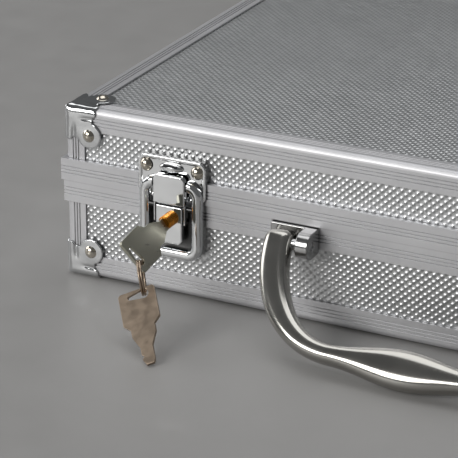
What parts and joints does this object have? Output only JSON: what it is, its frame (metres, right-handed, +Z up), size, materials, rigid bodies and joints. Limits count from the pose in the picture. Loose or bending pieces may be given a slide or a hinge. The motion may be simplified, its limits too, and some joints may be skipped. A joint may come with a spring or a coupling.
{
  "type": "poker chip case",
  "caption": "Shallow hinged case of dimpled aluminium sheet with grooved extruded edges, chrome corners and key-locked latches, a folding handle and chip trays inside.",
  "frame": {"origin": "centre of the case's rest plane, under the middle of the shell", "axes": "+X along the length to the right seen from the front, -Y out of the front with the latches and handle, +Z up"},
  "size_m": [0.3012, 0.2665, 0.0697],
  "materials": {
    "dimpled_sheet": "embossed with a diamond lattice of small domes",
    "anodised_extrusion": "satin anodised, finely drawn lengthwise",
    "corner_chrome": "pressed and chromed",
    "latch_chrome": "polished chrome",
    "handle_chrome": "soft polished chrome",
    "rivet_nickel": "warm nickel",
    "hinge_steel": "plated",
    "plug_brass": "turned",
    "key_nickel": "dull nickel",
    "spare_nickel": "dull warm nickel",
    "tray_flock": "black flock on a moulded foam insert",
    "pad_cloth": "black cloth over foam"
  },
  "bodies": {
    "base": {"base_bottom_panel": "dimpled_sheet", "base_front_panel": "dimpled_sheet", "base_back_panel": "dimpled_sheet", "base_left_panel": "dimpled_sheet", "base_right_panel": "dimpled_sheet", "base_trim_front": "anodised_extrusion", "base_trim_back": "anodised_extrusion", "base_trim_left": "anodised_extrusion", "base_trim_right": "anodised_extrusion", "base_rim": "anodised_extrusion", "base_corner_posts": "anodised_extrusion", "base_corner_protectors": "corner_chrome", "base_corner_rivets": "rivet_nickel", "chip_tray_left": "tray_flock", "chip_tray_right": "tray_flock", "card_tray": "tray_flock", "hinge_base_leaves": "hinge_steel", "hinge_pins": "hinge_steel", "hinge_base_rivets": "rivet_nickel", "latch_frame_left": "latch_chrome", "latch_frame_right": "latch_chrome", "lever_pins": "hinge_steel", "handle_bracket_left": "handle_chrome", "handle_bracket_right": "handle_chrome", "handle_pins": "hinge_steel"},
    "lid": {"lid_top_panel": "dimpled_sheet", "lid_front_panel": "dimpled_sheet", "lid_back_panel": "dimpled_sheet", "lid_left_panel": "dimpled_sheet", "lid_right_panel": "dimpled_sheet", "lid_trim_front": "anodised_extrusion", "lid_trim_back": "anodised_extrusion", "lid_trim_left": "anodised_extrusion", "lid_trim_right": "anodised_extrusion", "lid_rim": "anodised_extrusion", "lid_corner_posts": "anodised_extrusion", "lid_corner_protectors": "corner_chrome", "lid_corner_rivets": "rivet_nickel", "lid_pad": "pad_cloth", "hinge_lid_leaves": "hinge_steel", "hinge_lid_rivets": "rivet_nickel", "latch_keeper_left": "latch_chrome", "latch_keeper_right": "latch_chrome", "keeper_rivets": "rivet_nickel"},
    "lever_left": {"latch_lever_left": "latch_chrome", "hook_pins_left": "hinge_steel"},
    "hook_left": {"latch_hook_left": "latch_chrome"},
    "lock_left": {"lock_plug_left": "plug_brass", "lock_cam_left": "hinge_steel"},
    "lever_right": {"latch_lever_right": "latch_chrome", "hook_pins_right": "hinge_steel"},
    "hook_right": {"latch_hook_right": "latch_chrome"},
    "lock_right": {"lock_plug_right": "plug_brass", "lock_cam_right": "hinge_steel"},
    "carry_handle": {"handle": "handle_chrome"},
    "key": {"key_in_lock": "key_nickel"},
    "ring": {"key_ring": "spare_nickel"},
    "spare": {"spare_key": "spare_nickel"}
  },
  "joints": [
    {"name": "lid_hinge", "type": "hinge", "parent": "base", "child": "lid", "pos_m": [0, 0.1058, 0.0385], "axis": [-1, 0, 0], "range_deg": [0, 100]},
    {"name": "lever_left_flip", "type": "hinge", "parent": "base", "child": "lever_left", "pos_m": [-0.1032, -0.1048, 0.0366], "axis": [-1, 0, 0], "range_deg": [0, 42]},
    {"name": "hook_left_link", "type": "hinge", "parent": "lever_left", "child": "hook_left", "pos_m": [-0.1032, -0.1048, 0.0322], "axis": [-1, 0, 0], "range_deg": [-42, 0]},
    {"name": "lock_left_turn", "type": "hinge", "parent": "lever_left", "child": "lock_left", "pos_m": [-0.1032, -0.1052, 0.032], "axis": [0, 1, 0], "range_deg": [-50, 40]},
    {"name": "lever_right_flip", "type": "hinge", "parent": "base", "child": "lever_right", "pos_m": [0.1032, -0.1048, 0.0366], "axis": [-1, 0, 0], "range_deg": [0, 42]},
    {"name": "hook_right_link", "type": "hinge", "parent": "lever_right", "child": "hook_right", "pos_m": [0.1032, -0.1048, 0.0322], "axis": [-1, 0, 0], "range_deg": [-42, 0]},
    {"name": "lock_right_turn", "type": "hinge", "parent": "lever_right", "child": "lock_right", "pos_m": [0.1032, -0.1052, 0.032], "axis": [0, 1, 0], "range_deg": [-50, 40]},
    {"name": "handle_swing", "type": "hinge", "parent": "base", "child": "carry_handle", "pos_m": [0, -0.1086, 0.0333], "axis": [-1, 0, 0], "range_deg": [0, 120]},
    {"name": "key_draw", "type": "slide", "parent": "lock_left", "child": "key", "axis": [0, -0.989, -0.1478], "range_m": [0, 0.012]},
    {"name": "ring_swing", "type": "hinge", "parent": "key", "child": "ring", "pos_m": [-0.10153, -0.13243, 0.02629], "axis": [-0.2896, 0.7092, -0.6428], "range_deg": [-15, 20]},
    {"name": "spare_swing", "type": "hinge", "parent": "ring", "child": "spare", "pos_m": [-0.09653, -0.13871, 0.0171], "axis": [-0.2896, 0.7092, -0.6428], "range_deg": [-20, 40]}
  ],
  "couplings": [
    {"joint": "hook_left_link", "follows": "lever_left_flip", "ratio": -1},
    {"joint": "hook_right_link", "follows": "lever_right_flip", "ratio": -1}
  ]
}
